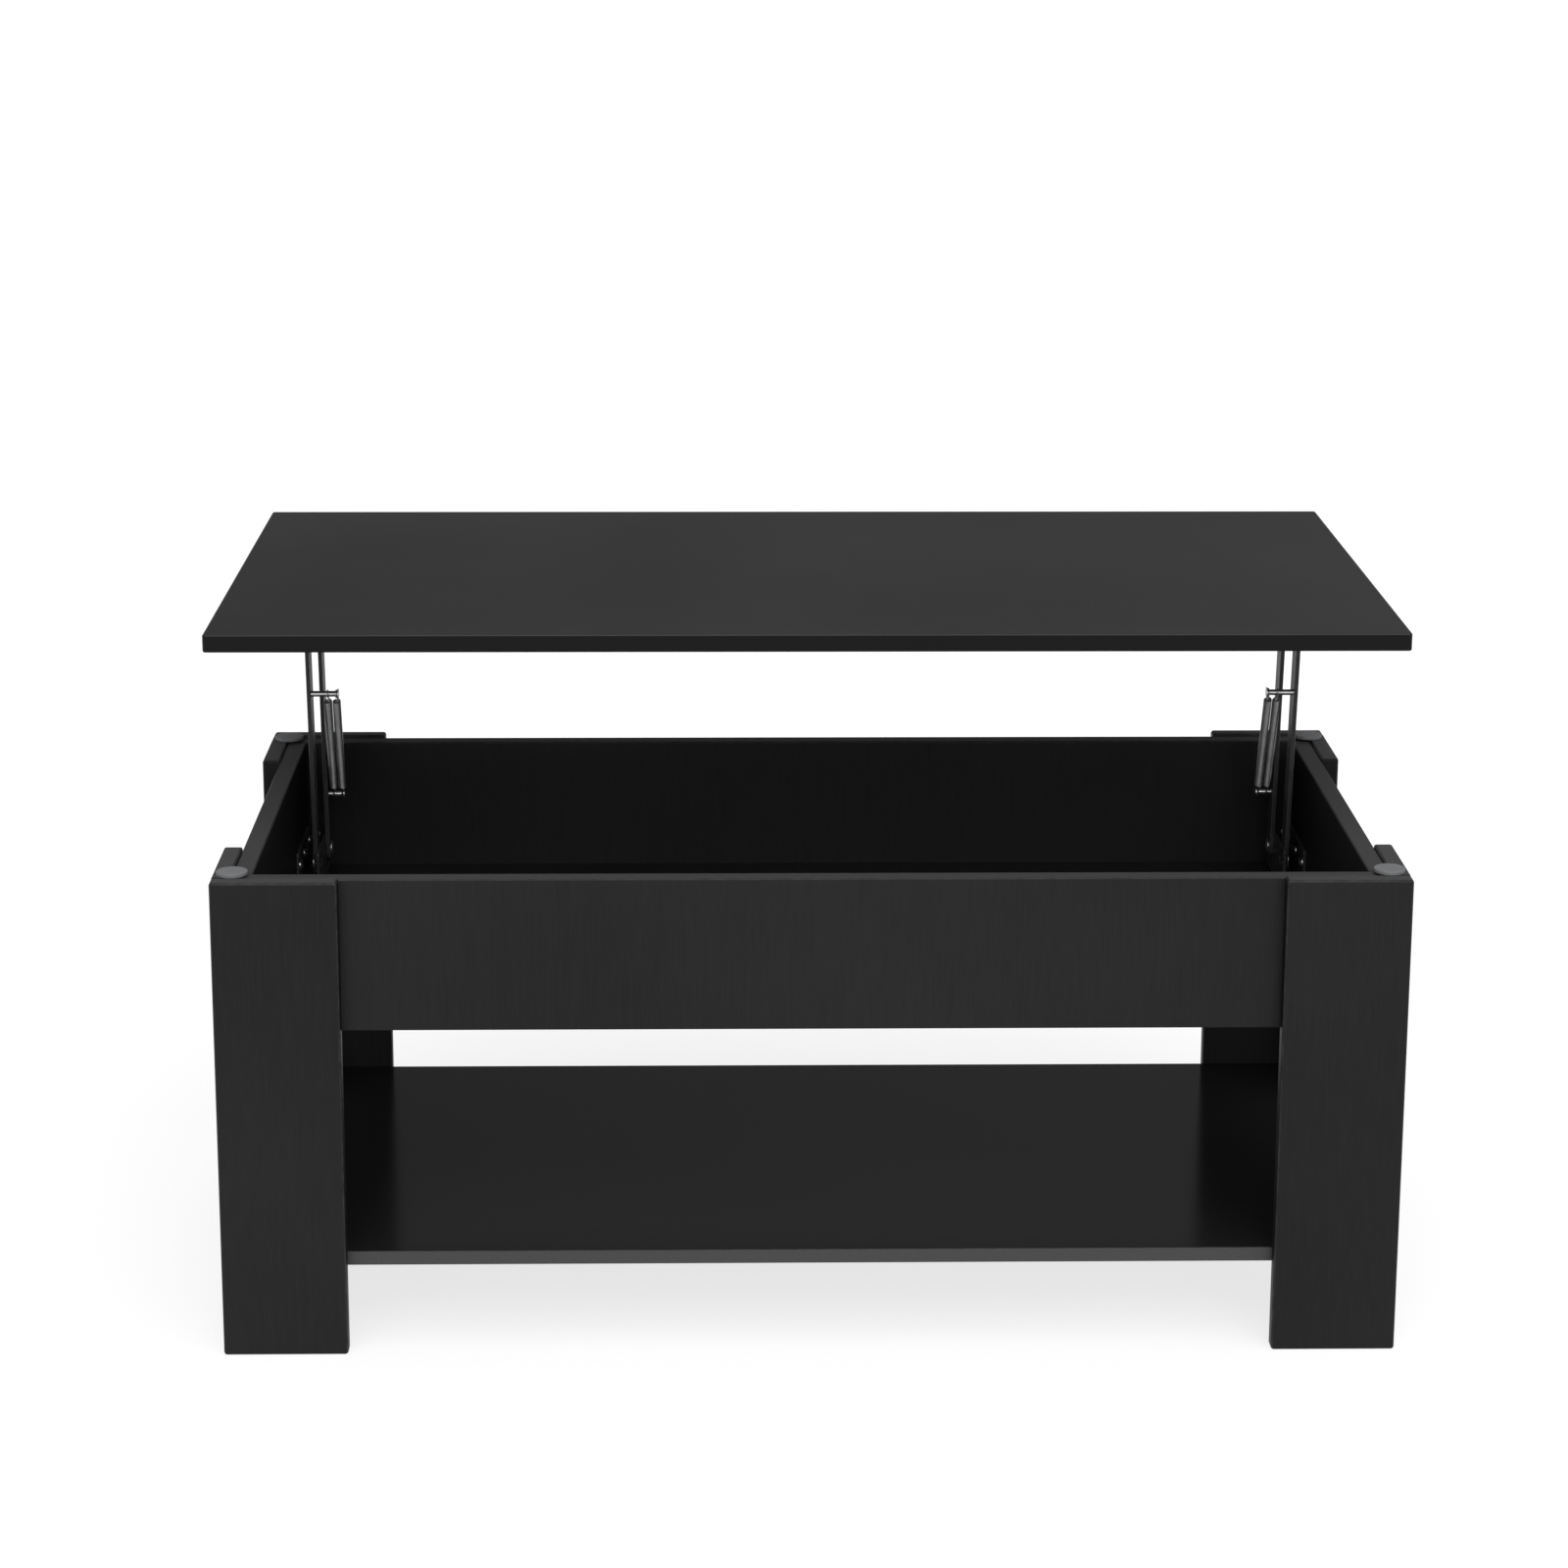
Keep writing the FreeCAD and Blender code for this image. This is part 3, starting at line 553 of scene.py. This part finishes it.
def make_spring_pins():
    """Cross pins: a plain bar with a shallow rounded head at its inner end."""
    plan = (("spring_pins_high", "front_arms", "front_arm_right", "spring_hooks_high"),
            ("spring_pins_low", "rear_arms", "rear_arm_right", "spring_hooks_low"))
    for node, body, arm, hooks in plan:
        low, high = span(node)
        centre = turning_line(node)
        head_radius = (high[2] - low[2]) / 2
        outer = span(arm)[1][0]
        inner_spring = span(hooks)[1][0] - COIL_RADIUS - SPRING_SPACING
        end = outer - inner_spring + SPRING_WIRE / 2 + PIN_SPARE
        shoulder = end + 0.6 * PIN_HEAD
        profile = [(PIN_RADIUS - EASE, 0), (PIN_RADIUS, EASE), (PIN_RADIUS, end),
                   (head_radius - EASE, end), (head_radius, end + EASE), (head_radius, shoulder)]
        profile += [(head_radius * math.cos(a), shoulder + 0.4 * PIN_HEAD * math.sin(a))
                    for a in np.radians([30, 60, 80])]
        pin = turned(profile)
        parts = [pin.placed(across_axes(sign, -1), centre + X_AXIS * sign * outer)
                 for sign in SIDES.values()]
        add_piece(f"{node}_bars", joined(parts), ZINC, body, [node])


def make_stop_pegs():
    """Short pegs that the raised front arms rest against."""
    low, high = span("stop_pegs")
    radius = (high[2] - low[2]) / 2
    centre = turning_line("stop_pegs")
    inner = span("base_bracket_right")[0][0] + SHEET
    length, chamfer = high[0] - inner, 0.3 * MM
    peg = turned([(radius, 0), (radius, length - chamfer), (radius - chamfer, length)])
    parts = [peg.placed(across_axes(sign, 1), centre + X_AXIS * sign * inner)
             for sign in SIDES.values()]
    add_piece("stop_peg_pins", joined(parts), ZINC, "base", ["stop_pegs"])


# ---------------------------------------------------------------- springs
def spring_wire(length, coil_radius, eye_radius, wire_size):
    """A tension spring of one wire, along Z from the centre of its high eye to its low eye.

    Only the half from the middle up to one eye is worked out, and the other half is the same one
    turned half round X. Up the coil, the turn angle grows evenly with the height, and one turn
    rises by one wire. In the neck the turning dies away while the climb speeds up. A straight leg
    then meets the eye, a circle round the pin that stops before it would meet the leg again.
    """
    neck, leg, per_turn = 5.2 * MM, 0.8 * MM, 14
    coil_half = length / 2 - eye_radius - neck - leg
    turns = math.floor(coil_half / wire_size) + 0.25
    sweep = 0.6 * TURN / 4
    angle = np.linspace(0, turns * TURN - sweep / 2, int(turns * per_turn))
    height = angle / angle[-1] * coil_half
    t = np.linspace(0, 1, 10)[1:]
    climb = coil_half / angle[-1] * sweep
    neck_angle = angle[-1] + sweep * (t - t * t / 2)
    neck_height = coil_half + climb * t + (neck - climb) * t * t
    t = np.linspace(0, 1, 5)[1:]
    leg_angle = np.full(len(t), neck_angle[-1])
    leg_height = neck_height[-1] + (leg + eye_radius) * t
    leg_radius = coil_radius + (eye_radius - coil_radius) * t
    angle = np.concatenate([angle, neck_angle, leg_angle])
    height = np.concatenate([height, neck_height, leg_height])
    radius = np.concatenate([np.full(len(angle) - len(t), coil_radius), leg_radius])
    around = np.radians(np.linspace(0, 285, 34))[1:]
    out = np.stack([np.cos(angle), np.sin(angle), 0 * angle], -1)
    eye_out = np.stack([0 * around, np.cos(around), np.sin(around)], -1)
    half = np.concatenate([radius[:, None] * out + height[:, None] * Z_AXIS,
                           eye_radius * eye_out + length / 2 * Z_AXIS])
    out = np.concatenate([out, eye_out])
    turned_over = np.array([1, -1, -1])
    path = np.concatenate([half[::-1] * turned_over, half[1:]]) + Z_AXIS * length / 2
    out = np.concatenate([out[::-1] * turned_over, out[1:]])
    return wire(path, wire_size / 2, out)


def make_springs():
    """Two close-wound tension springs a side, each one wire with a hook at both ends."""
    eye_radius = PIN_RADIUS + 0.1 * MM + SPRING_WIRE / 2
    high_line = span("spring_hooks_high")[1][0] - COIL_RADIUS
    low_line = span("spring_hooks_low")[1][0] - COIL_RADIUS
    nodes = ["spring_coils", "spring_hooks_high", "spring_hooks_low"]
    for side, sign in SIDES.items():
        for number, place in enumerate(("outer", "inner")):
            high = HIGH_PIN + X_AXIS * sign * (high_line - number * SPRING_SPACING)
            low = LOW_PIN + X_AXIS * sign * (low_line - number * SPRING_SPACING)
            length = np.linalg.norm(low - high)
            line = (low - high) / length
            third = np.cross(line, X_AXIS)
            third /= np.linalg.norm(third)
            axes = np.array([np.cross(third, line), third, line])
            shape = spring_wire(length, COIL_RADIUS - SPRING_WIRE / 2, eye_radius, SPRING_WIRE)
            piece = add_piece(f"tension_spring_{side}_{place}", shape.placed(axes, high), SPRING,
                              None, nodes, sharp=80)
            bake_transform(piece)


# ---------------------------------------------------------------- brackets and screws
def finish_brackets():
    """The brackets keep their CAD shape and get the painted steel."""
    for side in SIDES:
        for node in (f"base_bracket_{side}", f"lid_bracket_{side}"):
            slots = frame["nodes"][node].data.materials
            slots.clear()
            slots.append(STEEL)


def screw_head(radius, height, steps=40, rings=14):
    """A pan head with a cross recess, as a height over the disc.

    The dome is height (1 - 0.75 share^4) in the share of the radius. The recess has its full depth
    where both of its slopes have ended: down the sides of two crossed slots, and in from their ends.
    """
    slot_half, side_slope, slot_reach, end_slope = 0.5 * MM, 0.15 * MM, 2.1 * MM, 0.5 * MM
    recess = 0.6 * height
    share = np.linspace(0, 1, rings + 1)[1:, None]
    u = np.arange(steps) * TURN / steps
    x, y = radius * share * np.cos(u), radius * share * np.sin(u)
    dome = height * (1 - 0.75 * share ** 4) + 0 * u
    aside = np.minimum(np.abs(x), np.abs(y))
    reach = np.maximum(np.abs(x), np.abs(y))
    sides = np.clip((slot_half - aside) / side_slope, 0, 1)
    ends = np.clip((slot_reach - reach) / end_slope, 0, 1)
    points = np.stack([x, y, dome - sides * ends * recess], -1)[::-1]
    centre = np.array([[0, 0, height - recess]])
    foot = np.stack([radius * np.cos(u), radius * np.sin(u), 0 * u], -1)[None]
    rows = np.concatenate([foot, points])
    tip = len(rows) * steps
    last = tip - steps
    faces = grid_faces(len(rows), steps)
    faces += [(last + k, last + (k + 1) % steps, tip) for k in range(steps)]
    faces += [tuple(range(steps - 1, -1, -1))]
    return Shape(np.concatenate([rows.reshape(-1, 3), centre]), faces)


def rows_along(node):
    """Y of each separate solid of a CAD node, found by the gaps between its points."""
    source, gap = frame["nodes"][node], 5 * MM
    places = np.sort([(source.matrix_world @ vertex.co)[1] for vertex in source.data.vertices])
    groups = np.split(places, np.flatnonzero(np.diff(places) > gap) + 1)
    return [(group[0] + group[-1]) / 2 for group in groups]


def make_screws():
    """Pan-head screws, seen only as their heads on the brackets."""
    head = screw_head(SCREW_RADIUS, SCREW_HEAD)
    for side, sign in SIDES.items():
        node = f"bracket_screws_{side}"
        low, high = span(node)
        face = (low[0] if sign > 0 else high[0]) + sign * SCREW_HEAD
        level = (low[2] + high[2]) / 2
        parts = [head.placed(across_axes(sign, -1), np.array([face, y, level]))
                 for y in rows_along(node)]
        add_piece(f"{node}_heads", joined(parts), ZINC, "base", [node])
        node = f"lid_screws_{side}"
        low, high = span(node)
        x, level = (low[0] + high[0]) / 2, low[2] + SCREW_HEAD
        parts = [head.placed(np.array([X_AXIS, -Y_AXIS, -Z_AXIS]), np.array([x, y, level]))
                 for y in rows_along(node)]
        add_piece(f"{node}_heads", joined(parts), ZINC, "lid", [node])


make_boards()
make_lid_pads()
make_arms()
make_pivots()
make_spring_pins()
make_stop_pegs()
make_springs()
finish_brackets()
make_screws()


# ---------------------------------------------------------------- floor, light and camera
def make_stage():
    """A wide pale floor, three soft lights, and a surround that glows at the horizon.

    The surround is white along the horizon, nearly black a little above it and grey overhead, and
    a share of X makes it paler to the right. The stops pair a height with a shade.
    """
    half = 90.0
    mesh = bpy.data.meshes.new("floor")
    corners = [(-half, -half, 0), (half, -half, 0), (half, half, 0), (-half, half, 0)]
    mesh.from_pydata(corners, [], [(0, 1, 2, 3)])
    finish = Finish("pale_floor")
    mesh.materials.append(finish.paint(
        Base_Color=(0.2, 0.2, 0.2), Roughness=0.9, Specular_IOR_Level=0.0,
        Emission_Color=(1, 1, 1), Emission_Strength=0.76))
    floor = bpy.data.objects.new("floor", mesh)
    bpy.context.scene.collection.objects.link(floor)
    world = bpy.data.worlds.new("surround")
    world.use_nodes = True
    bpy.context.scene.world = world
    bpy.context.scene.view_settings.view_transform = "Standard"
    surround = NodeTree(world.node_tree)
    direction = surround.split(surround.node("ShaderNodeTexCoord")["Generated"])
    stops = [(0, 1), (0.03, 1), (0.1, 0.1), (0.17, 0.092), (0.28, 0.142), (0.75, 0.5)]
    height = direction["Z"] + direction["X"] * 0.25 * (direction["Z"] * 5).clipped()
    shade = surround.node("ShaderNodeValToRGB", {"stops": stops}, {"Fac": height})["Color"]
    surround.plug(surround.nodes["Background"].inputs["Color"], shade)
    add_sun("ceiling_light", 2.7, 80, (0.15, 0.45))
    add_sun("front_fill", 1.9, 65, (0, 1.2))
    add_sun("back_fill", 1.2, 90, (0, -1.22)).visible_glossy = False


def add_sun(name, strength, softness, lean):
    """A wide even light from above, leaning sideways and towards the front, both in radians."""
    light = bpy.data.lights.new(name, "SUN")
    light.energy = strength
    light.angle = math.radians(softness)
    lamp = bpy.data.objects.new(name, light)
    lamp.rotation_euler = (lean[1], lean[0], 0)
    bpy.context.scene.collection.objects.link(lamp)
    return lamp


def make_camera():
    """A long lens in front of the table and a little above it, looking slightly down."""
    aside, distance, height = -0.080, 2.761, 1.2558
    pitch, yaw, roll = 0.2325, 0.0204, 0.0034
    lens = bpy.data.cameras.new("camera")
    lens.lens = 84.65
    lens.sensor_width = 36
    lens.shift_y = -0.1
    lens.clip_end = 300
    camera = bpy.data.objects.new("camera", lens)
    camera.location = (aside, span("leg_face_front_left")[0][1] - distance, height)
    ahead = np.array([math.sin(yaw) * math.cos(pitch), math.cos(yaw) * math.cos(pitch),
                      -math.sin(pitch)])
    right = np.array([math.cos(yaw), -math.sin(yaw), 0])
    up = np.cross(right, ahead)
    tilted_right = math.cos(roll) * right + math.sin(roll) * up
    tilted_up = math.cos(roll) * up - math.sin(roll) * right
    turn = Matrix(np.stack([tilted_right, tilted_up, -ahead], axis=1).tolist())
    camera.rotation_euler = turn.to_euler()
    bpy.context.scene.collection.objects.link(camera)
    bpy.context.scene.camera = camera


make_stage()
make_camera()
